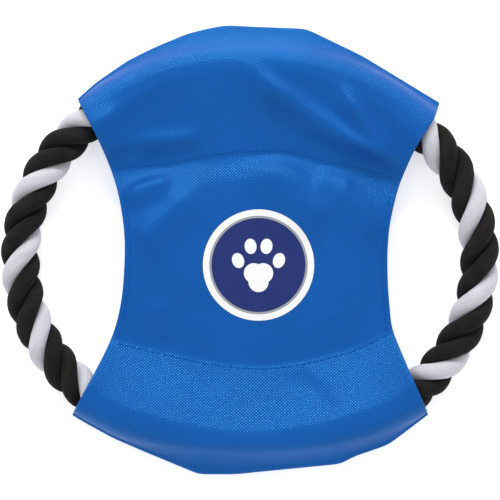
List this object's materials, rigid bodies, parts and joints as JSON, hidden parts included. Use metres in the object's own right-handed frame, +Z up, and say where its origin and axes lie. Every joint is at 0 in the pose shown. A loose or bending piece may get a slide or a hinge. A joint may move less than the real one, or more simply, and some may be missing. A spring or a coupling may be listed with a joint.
{
  "type": "flying ring",
  "caption": "Soft flying ring: closed loop of laid rope with a cloth panel whose folded ends are sewn into pockets round the rope, and open grips at both sides.",
  "frame": {"origin": "middle of the ring in plan, on the table that the folded pockets rest on", "axes": "+Z up out of the printed face, +X across the rope's two free sides, +Y towards the top pocket"},
  "size_m": [0.2283, 0.207, 0.0203],
  "materials": {
    "oxford_cloth": "royal blue plain-woven polyester oxford cloth, slight sheen",
    "sewing_thread": "blue polyester sewing thread",
    "white_rope": "soft brushed white polyester and cotton strand, matt",
    "black_rope": "soft brushed black polyester and cotton strand, matt",
    "binding_tape": "thin polyester tape",
    "shrink_sleeve": "black heat-shrink tube",
    "white_ink": "white transfer print, satin",
    "grey_ink": "grey transfer print, satin",
    "navy_ink": "navy transfer print, satin"
  },
  "bodies": {
    "cloth": {"centre_panel": "oxford_cloth", "top_pocket": "oxford_cloth", "bottom_pocket": "oxford_cloth", "top_seam_needle_thread": "sewing_thread", "top_seam_bobbin_thread": "sewing_thread", "bottom_seam_needle_thread": "sewing_thread", "bottom_seam_bobbin_thread": "sewing_thread", "left_hem_needle_thread": "sewing_thread", "left_hem_bobbin_thread": "sewing_thread", "right_hem_needle_thread": "sewing_thread", "right_hem_bobbin_thread": "sewing_thread", "badge_border": "white_ink", "badge_line": "grey_ink", "badge_field": "navy_ink", "badge_paw": "white_ink"},
    "rope_ring": {"strand_white": "white_rope", "strand_black_a": "black_rope", "strand_black_b": "black_rope", "end_tape_left": "binding_tape", "end_tape_right": "binding_tape", "join_sleeve": "shrink_sleeve"}
  },
  "joints": [
    {"name": "rope_turn", "type": "hinge", "parent": "cloth", "child": "rope_ring", "pos_m": [0, 0, 0.01016], "axis": [0, 0, 1], "range_deg": [-3, 3]}
  ]
}
